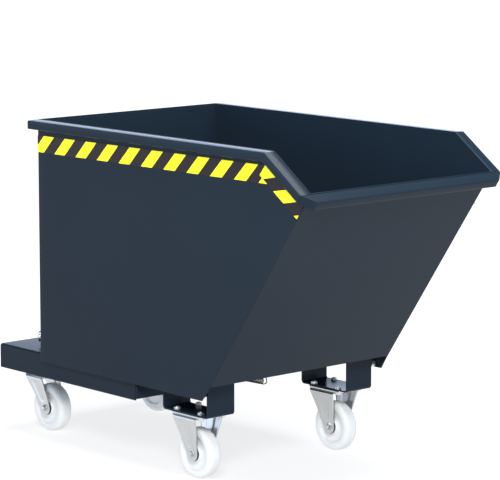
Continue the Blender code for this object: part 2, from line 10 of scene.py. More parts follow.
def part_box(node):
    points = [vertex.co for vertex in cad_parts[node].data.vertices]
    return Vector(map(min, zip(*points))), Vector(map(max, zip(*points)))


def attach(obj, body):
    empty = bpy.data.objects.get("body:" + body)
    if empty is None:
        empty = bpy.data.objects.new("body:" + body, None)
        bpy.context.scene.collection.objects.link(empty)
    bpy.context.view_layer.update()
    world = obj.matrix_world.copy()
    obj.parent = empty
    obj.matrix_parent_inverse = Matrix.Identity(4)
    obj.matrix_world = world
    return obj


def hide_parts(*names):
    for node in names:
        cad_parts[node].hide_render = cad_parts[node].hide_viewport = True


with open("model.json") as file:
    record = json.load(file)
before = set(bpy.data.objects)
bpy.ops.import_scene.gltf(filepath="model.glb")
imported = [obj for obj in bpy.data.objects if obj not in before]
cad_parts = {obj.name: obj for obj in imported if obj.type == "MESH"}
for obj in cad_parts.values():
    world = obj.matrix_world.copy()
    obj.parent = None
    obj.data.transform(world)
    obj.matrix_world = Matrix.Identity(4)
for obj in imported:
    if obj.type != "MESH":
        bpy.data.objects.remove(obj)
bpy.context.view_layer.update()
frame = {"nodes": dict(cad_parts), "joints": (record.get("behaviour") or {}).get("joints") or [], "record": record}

print("scene: frame loaded,", len(frame["nodes"]), "CAD nodes")
sides = {-1: "near", 1: "far"}


def gridFaces(rows, cols, loopRows=False, loopCols=False, start=0):
    # quads of a grid of rows by cols points, numbered row by row; a loop joins the last line to the first
    r = np.arange(rows if loopRows else rows - 1)[:, None]
    c = np.arange(cols if loopCols else cols - 1)[None, :]
    r2, c2 = (r + 1) % rows, (c + 1) % cols
    quads = np.stack([r * cols + c, r * cols + c2, r2 * cols + c2, r2 * cols + c], -1)
    return (quads.reshape(-1, 4) + start).tolist()


def tubeShell(rings):
    # rings (stations, points, 3) joined along the path, each end closed by one face
    rows, cols = rings.shape[:2]
    faces = gridFaces(rows, cols, loopCols=True)
    faces += [list(range(cols))[::-1], list(range((rows - 1) * cols, rows * cols))]
    return rings.reshape(-1, 3), faces


def thickShell(outer, inner):
    # two equal grids, one behind the other, joined all round their border
    rows, cols = outer.shape[:2]
    count = rows * cols
    faces = gridFaces(rows, cols)
    faces += [face[::-1] for face in gridFaces(rows, cols, start=count)]
    index = np.arange(count).reshape(rows, cols)
    rim = np.concatenate([index[0, :-1], index[:-1, -1], index[-1, :0:-1], index[:0:-1, 0]])
    after = np.roll(rim, -1)
    faces += np.stack([after, rim, rim + count, after + count], -1).tolist()
    return np.concatenate([outer.reshape(-1, 3), inner.reshape(-1, 3)]), faces


def latheShell(profile, centre, axis="Y", steps=72):
    # a closed profile of (radius, height) turned about an axis: x = r cos a, z = r sin a, y = height
    profile = np.array(profile, float)
    angle = np.linspace(0, 2 * pi, steps, endpoint=False)[:, None]
    radius, height = profile[:, 0][None], profile[:, 1][None]
    first, second = radius * np.cos(angle), radius * np.sin(angle)
    height = np.broadcast_to(height, first.shape)
    order = {"X": (height, first, second), "Y": (first, height, second), "Z": (first, second, height)}[axis]
    points = np.stack(order, -1) + np.array(centre, float)
    return points.reshape(-1, 3), gridFaces(steps, len(profile), True, True)


def prismShell(outline, start, end, axis="Y"):
    # an outline carried straight along one axis; its pairs are the two other axes, in order
    outline = np.array(outline, float)
    first, second = outline.T
    rings = []
    for along in (start, end):
        level = np.full(len(outline), along)
        rings.append(np.stack({"X": (level, first, second), "Y": (first, level, second),
                               "Z": (first, second, level)}[axis], -1))
    return tubeShell(np.stack(rings))


def roundPolygon(corners, radius, steps=5):
    # each corner becomes an arc tangent to its two edges: centre = corner + bisector * r / sin(half angle)
    corners = np.array(corners, float)
    radius = np.broadcast_to(np.array(radius, float), len(corners))
    points = []
    for i, here in enumerate(corners):
        if radius[i] <= 0:
            points.append(here[None])
            continue
        before, after = corners[i - 1] - here, corners[(i + 1) % len(corners)] - here
        before, after = before / np.linalg.norm(before), after / np.linalg.norm(after)
        half = np.arccos(np.clip(before @ after, -1, 1)) / 2
        bisector = (before + after) / np.linalg.norm(before + after)
        centre = here + bisector * radius[i] / sin(half)
        spoke = here + before * radius[i] / tan(half) - centre
        turn = before[0] * after[1] - before[1] * after[0]
        angle = np.linspace(0, 1, steps + 1) * (2 * half - pi) * (1 if turn > 0 else -1)
        x = spoke[0] * np.cos(angle) - spoke[1] * np.sin(angle)
        y = spoke[0] * np.sin(angle) + spoke[1] * np.cos(angle)
        points.append(np.stack([x, y], -1) + centre)
    return np.concatenate(points)


def circle(centre, radius, steps=24, start=0.0):
    # points at centre + radius * (cos a, sin a)
    angle = np.linspace(0, 2 * pi, steps, endpoint=False) + start
    return np.stack([centre[0] + radius * np.cos(angle), centre[1] + radius * np.sin(angle)], -1)


def ropeShell(path, radius, sides=8):
    # a ring of points square to the path at each of its points; radius may change along it
    path = np.array(path, float)
    ahead = np.gradient(path, axis=0)
    ahead /= np.linalg.norm(ahead, axis=1, keepdims=True)
    up = np.array([0.13, 0.21, 1.0])
    side = np.cross(ahead, up)
    side /= np.linalg.norm(side, axis=1, keepdims=True)
    top = np.cross(side, ahead)
    angle = np.linspace(0, 2 * pi, sides, endpoint=False)
    radius = np.broadcast_to(np.array(radius, float), len(path))[:, None, None]
    ring = side[:, None] * np.cos(angle)[None, :, None] + top[:, None] * np.sin(angle)[None, :, None]
    return tubeShell(path[:, None] + ring * radius)


def addPiece(name, shells, finish, body, replaced=(), smooth=32, bevel=0.0):
    # joins the shells in one mesh at the origin, turns its faces outwards and gives it to a body
    points, faces, start = [], [], 0
    for shellPoints, shellFaces in shells:
        points.append(shellPoints)
        faces += [[index + start for index in face] for face in shellFaces]
        start += len(shellPoints)
    mesh = bpy.data.meshes.new(name)
    mesh.from_pydata(np.concatenate(points).tolist(), [], faces)
    work = bmesh.new()
    work.from_mesh(mesh)
    bmesh.ops.remove_doubles(work, verts=work.verts, dist=1e-6)
    bmesh.ops.recalc_face_normals(work, faces=work.faces)
    work.to_mesh(mesh)
    work.free()
    piece = bpy.data.objects.new(name, mesh)
    bpy.context.scene.collection.objects.link(piece)
    mesh.materials.append(finish)
    mesh.shade_smooth()
    mesh.set_sharp_from_angle(angle=radians(smooth))
    if bevel:
        edge = piece.modifiers.new("edge", "BEVEL")
        edge.width, edge.segments = bevel, 2
        edge.limit_method, edge.angle_limit = "ANGLE", radians(40)
        edge.harden_normals = True
    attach(piece, body)
    if replaced:
        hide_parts(*replaced)
    return piece


def linear(code):
    # sRGB hex to linear: c / 12.92 below 0.04045, else ((c + 0.055) / 1.055) ^ 2.4
    values = [int(code[i:i + 2], 16) / 255 for i in (1, 3, 5)]
    return (*[v / 12.92 if v <= 0.04045 else ((v + 0.055) / 1.055) ** 2.4 for v in values], 1.0)


def addNode(tree, kind, settings=None, links=None):
    # a node with its settings: a setting is one of its own properties, or else an input's value
    node = tree.nodes.new(kind)
    for key, value in (settings or {}).items():
        if isinstance(key, str) and hasattr(node, key):
            setattr(node, key, value)
        else:
            node.inputs[key].default_value = value
    for key, source in (links or {}).items():
        tree.links.new(source, node.inputs[key])
    return node


def newMaterial(name, settings):
    # a material with its shader set, and the object coordinates that its patterns read
    material = bpy.data.materials.new(name)
    material.use_nodes = True
    tree = material.node_tree
    shader = tree.nodes["Principled BSDF"]
    for key, value in settings.items():
        shader.inputs[key].default_value = value
    place = addNode(tree, "ShaderNodeTexCoord").outputs["Object"]
    return material, tree, shader, place


coatLook = {
    "colour": "#17212B", "worn": "#1A252F", "roughness": (0.17, 0.25),
    "peel": 0.006, "cloud": 0.35, "index": 1.16,
}


def powderCoat(name, look):
    # Polyester powder coat, sprayed and baked on sheet steel: satin, with a faint orange peel.
    # Its peel is really 1 to 2 mm across, drawn at 6 mm so that it can show.
    material, tree, shader, place = newMaterial(name, {"IOR": look["index"]})
    cloud = addNode(tree, "ShaderNodeTexNoise", {"Scale": 1 / look["cloud"], "Detail": 4.0},
                    {"Vector": place})
    tone = addNode(tree, "ShaderNodeMix", {"data_type": "RGBA"}, {0: cloud.outputs[0]})
    tone.inputs[6].default_value = linear(look["colour"])
    tone.inputs[7].default_value = linear(look["worn"])
    tree.links.new(tone.outputs[2], shader.inputs["Base Color"])
    rough = addNode(tree, "ShaderNodeMapRange", {3: look["roughness"][0], 4: look["roughness"][1]},
                    {0: cloud.outputs[0]})
    tree.links.new(rough.outputs[0], shader.inputs["Roughness"])
    peel = addNode(tree, "ShaderNodeTexNoise", {"Scale": 1 / look["peel"], "Detail": 2.0}, {"Vector": place})
    bump = addNode(tree, "ShaderNodeBump", {"Strength": 0.06, "Distance": 0.0004},
                   {"Height": peel.outputs[0]})
    tree.links.new(bump.outputs[0], shader.inputs["Normal"])
    return material


zincLook = {"bright": "#D2D3D1", "dull": "#B9BBBC", "spangle": 0.009, "roughness": (0.26, 0.40),
            "grain": 1 / 700}                                   # 1.4 mm


def zincPlate(name, look):
    # Bright zinc, electroplated on pressed steel: pale, a little cloudy, with soft reflections.
    material, tree, shader, place = newMaterial(name, {"Metallic": 1.0})
    cloud = addNode(tree, "ShaderNodeTexNoise",
                    {"Scale": 1 / look["spangle"], "Detail": 5.0, "Roughness": 0.6}, {"Vector": place})
    tone = addNode(tree, "ShaderNodeMix", {"data_type": "RGBA"}, {0: cloud.outputs[0]})
    tone.inputs[6].default_value = linear(look["dull"])
    tone.inputs[7].default_value = linear(look["bright"])
    tree.links.new(tone.outputs[2], shader.inputs["Base Color"])
    rough = addNode(tree, "ShaderNodeMapRange", {3: look["roughness"][0], 4: look["roughness"][1]},
                    {0: cloud.outputs[0]})
    tree.links.new(rough.outputs[0], shader.inputs["Roughness"])
    grain = addNode(tree, "ShaderNodeTexNoise", {"Scale": 1 / look["grain"], "Detail": 2.0},
                    {"Vector": place})
    bump = addNode(tree, "ShaderNodeBump", {"Strength": 0.08, "Distance": 0.0002},
                   {"Height": grain.outputs[0]})
    tree.links.new(bump.outputs[0], shader.inputs["Normal"])
    return material


nylonLook = {"clean": "#DCDCD9", "scuffed": "#D0D0CD", "roughness": (0.38, 0.55), "scuff": 0.03}


def castNylon(name, look):
    # Polyamide, injection moulded: milky white, semi-matt, lightly scuffed where it rolls.
    material, tree, shader, place = newMaterial(name, {
        "Subsurface Weight": 0.08, "Subsurface Scale": 0.004, "IOR": 1.53,
    })
    cloud = addNode(tree, "ShaderNodeTexNoise", {"Scale": 1 / look["scuff"], "Detail": 6.0},
                    {"Vector": place})
    tone = addNode(tree, "ShaderNodeMix", {"data_type": "RGBA"}, {0: cloud.outputs[0]})
    tone.inputs[6].default_value = linear(look["clean"])
    tone.inputs[7].default_value = linear(look["scuffed"])
    tree.links.new(tone.outputs[2], shader.inputs["Base Color"])
    rough = addNode(tree, "ShaderNodeMapRange", {3: look["roughness"][0], 4: look["roughness"][1]},
                    {0: cloud.outputs[0]})
    tree.links.new(rough.outputs[0], shader.inputs["Roughness"])
    bump = addNode(tree, "ShaderNodeBump", {"Strength": 0.05, "Distance": 0.0003},
                   {"Height": cloud.outputs[0]})
    tree.links.new(bump.outputs[0], shader.inputs["Normal"])
    return material


filmLook = {
    "yellow": "#F6EE14", "black": "#140D10", "roughness": 0.42, "index": 1.3,
    "share": 0.49, "ripple": 1 / 60,        # the yellow part of a period; ripples 17 mm across
}


def hazardFilm(name, look, across, period, offset):
    # PVC film, printed and glued on: stripes where the distance along `across` falls in half of each period.
    material, tree, shader, place = newMaterial(name, {"Roughness": look["roughness"], "IOR": look["index"]})
    along = addNode(tree, "ShaderNodeVectorMath", {"operation": "DOT_PRODUCT", 1: across}, {0: place})
    phase = addNode(tree, "ShaderNodeMath", {"operation": "MULTIPLY_ADD", 1: 1 / period, 2: -offset / period},
                    {0: along.outputs["Value"]})
    turn = addNode(tree, "ShaderNodeMath", {"operation": "FRACT"}, {0: phase.outputs[0]})
    stripe = addNode(tree, "ShaderNodeMath", {"operation": "LESS_THAN", 1: look["share"]},
                     {0: turn.outputs[0]})
    tone = addNode(tree, "ShaderNodeMix", {"data_type": "RGBA"}, {0: stripe.outputs[0]})
    tone.inputs[6].default_value = linear(look["black"])
    tone.inputs[7].default_value = linear(look["yellow"])
    tree.links.new(tone.outputs[2], shader.inputs["Base Color"])
    ripple = addNode(tree, "ShaderNodeTexNoise", {"Scale": 1 / look["ripple"], "Detail": 1.0},
                     {"Vector": place})
    bump = addNode(tree, "ShaderNodeBump", {"Strength": 0.04, "Distance": 0.0005},
                   {"Height": ripple.outputs[0]})
    tree.links.new(bump.outputs[0], shader.inputs["Normal"])
    return material


springLook = {"dark": "#0E1013", "pale": "#1A1C20", "metallic": 0.3, "roughness": 0.38, "grain": 1 / 900}


def oiledSteel(name, look):
    # Drawn spring wire, blackened in oil: near black, with narrow bright glints.
    material, tree, shader, place = newMaterial(name, {
        "Metallic": look["metallic"], "Roughness": look["roughness"],
    })
    draw = addNode(tree, "ShaderNodeTexNoise", {"Scale": 1 / look["grain"], "Detail": 2.0}, {"Vector": place})
    tone = addNode(tree, "ShaderNodeMix", {"data_type": "RGBA"}, {0: draw.outputs[0]})
    tone.inputs[6].default_value = linear(look["dark"])
    tone.inputs[7].default_value = linear(look["pale"])
    tree.links.new(tone.outputs[2], shader.inputs["Base Color"])
    bump = addNode(tree, "ShaderNodeBump", {"Strength": 0.1, "Distance": 0.0002}, {"Height": draw.outputs[0]})
    tree.links.new(bump.outputs[0], shader.inputs["Normal"])
    return material


coat = powderCoat("satinPowderCoat", coatLook)
zinc = zincPlate("brightZincPlate", zincLook)
nylon = castNylon("mouldedPolyamide", nylonLook)
springSteel = oiledSteel("oiledSpringWire", springLook)
print("scene: materials made")

# every CAD node gets its finish, whether it stays in sight or not
finishes = {"powder_coat": coat, "zinc_plate": zinc, "nylon": nylon, "spring_steel": springSteel}
nodeSlots = {row["node"]: row["material_slot"] for row in frame["record"]["subparts"]}
for nodeName, node in frame["nodes"].items():
    node.data.materials[0] = finishes.get(nodeSlots[nodeName], coat)

tub = {
    "rearX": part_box("tub_rear_panel")[0].x,
    "wallY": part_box("tub_side_panel_far")[1].y,
    "rimTop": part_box("tub_rear_panel")[1].z,
    "skirtBottom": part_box("tub_side_panel_far")[0].z,
    "floorTop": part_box("tub_floor_panel")[1].z,
    "skirtFront": 0.253, "slope": radians(55), "chamferX": 0.551, "sheet": 0.003,
    "corner": 0.0055,           # bend between a side panel and the rear panel
    "foldTop": 0.290, "foldFrom": 0.088, "flare": 0.0035,   # the skirt leans out below a fold
    "rimWidth": 0.0357, "rimDepth": 0.027, "rimRound": 0.0032, "rimTilt": 0.0019,
}
up = np.array([cos(tub["slope"]), sin(tub["slope"])])        # up along the front panel, in x and z
# square to it, forwards and down; also the chamfer
out = np.array([sin(tub["slope"]), -cos(tub["slope"])])
fall = 1 / tan(tub["slope"])
lipX = (tub["skirtFront"] - tub["skirtBottom"] * fall + (tub["rimTop"] + tub["chamferX"] * fall) * fall)
lipX /= 1 + fall * fall
lip = np.array([lipX, tub["rimTop"] - (lipX - tub["chamferX"]) * fall])


def panelFront(z):
    # x of a side panel's front edge: the front slope up to the lip, the chamfer above it
    slope = tub["skirtFront"] + (z - tub["skirtBottom"]) * fall
    chamfer = tub["chamferX"] + (tub["rimTop"] - z) / fall
    return np.minimum(slope, chamfer)


def sidePanel(side):
    # plan: an arc round the rear corner, then straight to the front edge; rows run up the panel.
    # Below the fold the sheet leans out in proportion to its depth, fading in along x.
    turn = np.linspace(0, pi / 2, 7)
    along = np.linspace(0, 1, 40)[1:]
    rows = np.concatenate([
        np.linspace(tub["skirtBottom"], tub["foldTop"], 5), np.linspace(tub["foldTop"], lip[1], 14)[1:],
        np.linspace(lip[1], tub["rimTop"], 5)[1:],
    ])
    bend = tub["corner"]
    front = panelFront(rows)[:, None]
    start = tub["rearX"] + bend
    arcX = np.broadcast_to(start - bend * np.cos(turn)[None], (len(rows), len(turn)))
    x = np.concatenate([arcX, start + (front - start) * along[None]], 1)
    inset = np.concatenate([bend * (1 - np.sin(turn)), np.zeros(len(along))])[None]
    normalX = np.concatenate([-np.cos(turn), np.zeros(len(along))])[None]
    normalY = np.concatenate([np.sin(turn), np.ones(len(along))])[None]
    depth = np.clip((tub["foldTop"] - rows) / (tub["foldTop"] - tub["skirtBottom"]), 0, 1)[:, None]
    fade = np.clip((x - tub["foldFrom"] + 0.03) / 0.06, 0, 1)
    lean = tub["flare"] * depth * fade * fade * (3 - 2 * fade)
    z = np.broadcast_to(rows[:, None], x.shape)
    outer = np.stack([x, side * (tub["wallY"] - inset + lean), z], -1)
    inward = np.stack([-normalX, -side * normalY], -1) * tub["sheet"]
    inner = outer.copy()
    inner[..., :2] += inward
    addPiece("sidePanel_" + sides[side], [thickShell(outer, inner)], coat, "tub",
             ["tub_side_panel_" + sides[side]], smooth=20, bevel=0.0008)


def rimTube(side):
    # a rounded box profile carried level, then down the chamfer:
    # on the mitre x shifts by depth * tan(half turn)
    wide, deep, tilt = tub["rimWidth"], tub["rimDepth"], tub["rimTilt"]
    profile = roundPolygon([(0, 0), (wide, -tilt), (wide, -deep), (0, -deep)], tub["rimRound"])
    across, below = profile.T
    half = (pi / 2 - tub["slope"]) / 2
    y = side * (tub["wallY"] + 0.0001 + across)
    rear = np.stack([np.full(len(y), tub["rearX"]), y, tub["rimTop"] + below], -1)
    mitre = np.stack([tub["chamferX"] + below * tan(half), y, tub["rimTop"] + below], -1)
    end = np.stack([lip[0] + up[0] * below, y, lip[1] + up[1] * below], -1)
    near = rear * 0.004 + mitre * 0.996                     # holds the mitre's shading to its own corner
    down = mitre * 0.98 + end * 0.02
    addPiece("rimTube_" + sides[side], [tubeShell(np.stack([rear, near, mitre, down, end]))], coat, "tub",
             ["rim_tube_" + sides[side]], smooth=25)


def lipTube():
    # the same profile across the front: each end is cut at 45 degrees, y = half width - distance forward
    wide, deep = tub["rimWidth"], tub["rimDepth"]
    profile = roundPolygon([(0, 0), (wide, 0), (wide, -deep), (0, -deep)], tub["rimRound"])
    forward, below = profile.T
    x = lip[0] + out[0] * forward + up[0] * below
    z = lip[1] + out[1] * forward + up[1] * below
    reach = tub["wallY"] + wide - 0.0002 - forward
    stations = np.array([-1, -0.995, 0.995, 1])[:, None]
    rings = np.stack([np.broadcast_to(x, (4, len(x))), stations * reach, np.broadcast_to(z, (4, len(z)))], -1)
    addPiece("lipTube", [tubeShell(rings)], coat, "tub", ["lip_tube"], smooth=25)


def rearPanel():
    # flat sheet between the two corner bends
    reach = tub["wallY"] - tub["corner"]
    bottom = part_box("tub_rear_panel")[0].z
    outline = [(-reach, bottom), (reach, bottom), (reach, tub["rimTop"]), (-reach, tub["rimTop"])]
    addPiece("rearPanel", [prismShell(outline, tub["rearX"], tub["rearX"] + tub["sheet"], "X")], coat, "tub",
             ["tub_rear_panel"], bevel=0.0008)


film = {
    "width": 0.050, "rearTop": 0.941, "frontTop": 0.9475, "proud": 0.0005, "period": 0.1005,
    "sideOffset": -0.6085, "drop": 0.040, "chamferPeriod": 0.0716, "chamferOffset": 0.7360,
    "chamferLean": radians(10), "sideEnd": 0.5345, "tip": 0.0015,
}


def hazardStrips(side):
    # the level strip leans up a little to the front;
    # the chamfer strip follows the chamfer and is cut at the slope
    name = sides[side]
    face = sorted((side * (tub["wallY"] + 0.0001), side * (tub["wallY"] + film["proud"])))
    raised = [value + side * 0.0004 for value in face]
    rise = (film["frontTop"] - film["rearTop"]) / (tub["chamferX"] - tub["rearX"])
    topAt = lambda x: film["rearTop"] + (x - tub["rearX"]) * rise
    rear = tub["rearX"] + 0.002
    level = [(rear, topAt(rear) - film["width"]), (film["sideEnd"], topAt(film["sideEnd"]) - film["width"]),
             (film["sideEnd"], topAt(film["sideEnd"])), (rear, topAt(rear))]
    stripes = hazardFilm("stripedFilmLevel_" + name, filmLook, (1, 0, -1), film["period"],
                         film["sideOffset"])
    addPiece("hazardStripLevel_" + name, [prismShell(level, *face)], stripes, "tub",
             ["hazard_tape_side_" + name])
    corner = np.array([tub["chamferX"], tub["rimTop"]])
    upper = corner - up * film["drop"]
    length = np.linalg.norm(lip - corner) - film["tip"]
    lower = upper - up * film["width"] - out * 0.006
    outline = [upper - out * 0.004, lower, upper + out * length - up * film["width"], upper + out * length]
    lean = film["chamferLean"]
    stripes = hazardFilm("stripedFilmChamfer_" + name, filmLook, (-sin(lean), 0, cos(lean)),
                         film["chamferPeriod"], film["chamferOffset"])
    addPiece("hazardStripChamfer_" + name, [prismShell(outline, *raised)], stripes, "tub",
             ["hazard_tape_chamfer_" + name])


def weldBead(start, end, radius, pitch=0.006, wander=0.0):
    # a rope whose radius swells once per pitch, as a hand-laid bead does: r * (0.82 + 0.18 |sin|)
    start, end = np.array(start, float), np.array(end, float)
    length = np.linalg.norm(end - start)
    steps = max(8, int(length / pitch * 4))
    t = np.linspace(0, 1, steps)[:, None]
    swell = radius * (0.82 + 0.18 * np.abs(np.sin(t[:, 0] * length / pitch * pi)))
    swell[[0, -1]] *= 0.4
    path = start + (end - start) * t
    path[:, 1] += wander * np.sin(t[:, 0] * length / 0.05)
    return ropeShell(path, swell, 6)


bead = {
    "corner": 0.0022, "slope": 0.0018, "dot": 0.0016, "inset": 0.0032, "floorInset": 0.0034, "top": 0.984,
    "dotPlace": (0.6280, 0.7900),
}


def tubWelds():
    # beads in the inside corners, along the lip and dots where the rim pieces meet
    inner = tub["wallY"] - tub["sheet"]
    foot = tub["floorTop"] - tub["sheet"]
    footX = panelFront(np.array(foot)) - tub["sheet"] / sin(tub["slope"])
    beads = []
    for side in sides:
        y = side * inner
        x = tub["rearX"] + bead["inset"]
        beads.append(weldBead((x, y, tub["floorTop"]), (x, y, bead["top"]), bead["corner"]))
        back = -out * tub["sheet"]
        head = (lip[0] + back[0], y, lip[1] + back[1] - 0.004)
        beads.append(weldBead((footX, y, tub["floorTop"]), head, bead["slope"]))
        corner = np.array([lip[0], side * (tub["wallY"] + tub["rimWidth"] - 0.002), lip[1] - 0.001])
        beads.append(weldBead(corner, corner + np.array([0.004, 0, -0.003]), bead["corner"]))
        dot = np.array([bead["dotPlace"][0], side * (tub["wallY"] + 0.0002), bead["dotPlace"][1]])
        beads.append(weldBead(dot, dot + np.array([0.0016, 0, 0.002]), bead["dot"]))
    x = tub["rearX"] + bead["floorInset"]
    beads.append(weldBead((x, -inner, tub["floorTop"]), (x, inner, tub["floorTop"]), bead["corner"]))
    addPiece("tubWelds", beads, coat, "tub", smooth=60)


for side in sides:
    sidePanel(side)
    rimTube(side)
    hazardStrips(side)
lipTube()
rearPanel()
tubWelds()
print("scene: tub made")

tray = {
    "rearX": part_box("base_tray")[0].x,
    "halfY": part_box("base_tray")[1].y, "top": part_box("base_tray")[1].z, "bottom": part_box("base_tray")[0].z,
    "sheet": 0.004, "bend": 0.008, "flangeFront": -0.0665, "frontBottom": 0.2066, "frontHalf": 0.3335,
    "frontFace": -0.0590,
    "edgeWeld": ((-0.0610, 0.2090), (-0.0605, 0.2680)),     # x and z of its foot and its top
    "armWeld": ((-0.0560, 0.3290), (-0.0560, 0.3000)), "armWeldZ": 0.2440,
    "weldRadius": (0.0034, 0.0040), "weldPitch": 0.009,
}


def foldPath(corners, bend, steps=8):
    # a straight-sided path whose inner corners are arcs, with its unit normals to the left of travel
    corners = np.array(corners, float)
    radius = np.full(len(corners), bend)
    radius[[0, -1]] = 0
    path = roundPolygon(corners, radius, steps)
    ahead = np.gradient(path, axis=0)
    ahead /= np.linalg.norm(ahead, axis=1, keepdims=True)
    return path, np.stack([-ahead[:, 1], ahead[:, 0]], -1)


def foldedTray():
    # the channel is its cross section carried along x; the front flange is its side view carried along y.
    # The flange's bend is longer than its flat, so it starts folded back: a fin 4 mm high stands there.
    section, normal = foldPath([
        (-tray["halfY"], tray["bottom"]), (-tray["halfY"], tray["top"]),
        (tray["halfY"], tray["top"]), (tray["halfY"], tray["bottom"]),
    ], tray["bend"])
    inner = section - normal * tray["sheet"]
    x = np.linspace(tray["rearX"], tray["flangeFront"], 12)[:, None]
    carry = lambda line: np.stack(np.broadcast_arrays(x, line[None, :, 0], line[None, :, 1]), -1)
    channel = thickShell(carry(section), carry(inner))
    side, normal = foldPath([
        (tray["flangeFront"] - 0.0002, tray["top"]), (tray["frontFace"], tray["top"]),
        (tray["frontFace"], tray["frontBottom"]),
    ], tray["bend"])
    under = side - normal * tray["sheet"]
    y = np.linspace(-tray["frontHalf"], tray["frontHalf"], 8)[:, None]
    carry = lambda line: np.stack(np.broadcast_arrays(line[None, :, 0], y, line[None, :, 1]), -1)
    flange = thickShell(carry(side), carry(under))
    beads = []
    for turn in sides:
        edge = turn * (tray["halfY"] - 0.0010)
        upright = [(place, edge, height) for place, height in tray["edgeWeld"]]
        level = [(place, turn * half, tray["armWeldZ"]) for place, half in tray["armWeld"]]
        for line, radius in zip((upright, level), tray["weldRadius"]):
            beads.append(weldBead(*line, radius, tray["weldPitch"]))
    addPiece("foldedTray", [channel, flange], coat, "base", ["base_tray"], bevel=0.0007)
    addPiece("trayWelds", beads, coat, "base", smooth=60)


bracket = {"sheet": 0.005, "bend": 0.011}


def castorBracket(side):
    # a bent channel's side view, carried along y
    low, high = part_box("castor_bracket_" + sides[side])
    sheet, bend = bracket["sheet"], bracket["bend"]
    outline = roundPolygon([
        (low.x, high.z), (low.x, low.z), (high.x, low.z), (high.x, high.z),
        (high.x - sheet, high.z), (high.x - sheet, low.z + sheet), (low.x + sheet, low.z + sheet),
        (low.x + sheet, high.z),
    ], [0, bend, bend, 0, 0, bend - sheet, bend - sheet, 0], 8)
    addPiece("castorBracket_" + sides[side], [prismShell(outline, low.y, high.y)], coat, "base",
             ["castor_bracket_" + sides[side]], bevel=0.0007)


arm = {
    "low": 0.2540, "high": 0.2662, "reach": (0.2980, 0.3290), "lap": 0.006,
    "earBack": 0.100, "ear": 0.0152, "earHalf": 0.0038, "earRound": [0.002, 0.014, 0.015, 0.002],
}


def pivotArm(side):
    # a flat bar lying from under the tray to the bracket, with an upright ear at the pivot pin
    name = "base_arm_" + sides[side]
    low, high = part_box(name)
    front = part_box("castor_bracket_" + sides[side])[0].x + arm["lap"]
    bar = [(low.x, arm["low"]), (front, arm["low"]), (front, arm["high"]), (low.x, arm["high"])]
    reach = sorted(side * value for value in arm["reach"])
    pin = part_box("pivot_pin_" + sides[side])
    spot = ((pin[0].x + pin[1].x) / 2, (pin[0].z + pin[1].z) / 2)
    back, tip, top = spot[0] - arm["earBack"], spot[0] + arm["ear"], spot[1] + arm["ear"]
    ear = roundPolygon([(back, arm["low"]), (tip, arm["low"]), (tip, top), (back, top)], arm["earRound"], 6)
    middle = abs(low.y + high.y) / 2
    cheek = sorted((side * (middle - arm["earHalf"]), side * (middle + arm["earHalf"])))
    addPiece("pivotArm_" + sides[side], [prismShell(bar, *reach), prismShell(ear, *cheek)], coat, "base",
             [name], bevel=0.0007)


foldedTray()
for side in sides:
    castorBracket(side)
    pivotArm(side)


pocket = {"wall": 0.005, "front": -0.092, "round": 0.008, "innerRound": 0.003}


def forkPocket(side):
    # a rounded box section, open at both ends: rings run outside forwards and inside back again
    name = "fork_pocket_" + sides[side]
    low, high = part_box(name)
    wall, front = pocket["wall"], pocket["front"]
    section = lambda inset, radius: roundPolygon([
        (low.y + inset, low.z + inset), (high.y - inset, low.z + inset),
        (high.y - inset, high.z - inset), (low.y + inset, high.z - inset),
    ], radius, 4)
    rings = []
    outer, inner = section(0, pocket["round"]), section(wall, pocket["innerRound"])
    for x, line in ((low.x, outer), (front, outer), (front, inner), (low.x, inner)):
        rings.append(np.concatenate([np.full((len(line), 1), x), line], 1))
    rings = np.stack(rings)
    faces = gridFaces(len(rings), rings.shape[1], True, True)
    addPiece("forkPocket_" + sides[side], [(rings.reshape(-1, 3), faces)], coat, "base",
             [name], bevel=0.0006)


spring = {
    "y": -0.091, "from": 0.020, "to": 0.2115, "fromZ": 0.2650, "toZ": 0.2702, "wire": 0.0016, "coil": 0.0090,
    "turns": 36, "hook": [(0.2115, 0.2609), (0.2200, 0.2618), (0.2288, 0.2640), (0.2336, 0.2675),
                          (0.2354, 0.2725), (0.2345, 0.2780), (0.2314, 0.2826), (0.2270, 0.2862),
                          (0.2225, 0.2868), (0.2190, 0.2842), (0.2180, 0.2805)],
    "lug": (0.2150, 0.2350), "lugBottom": 0.2894, "lugHalf": 0.0025,
}


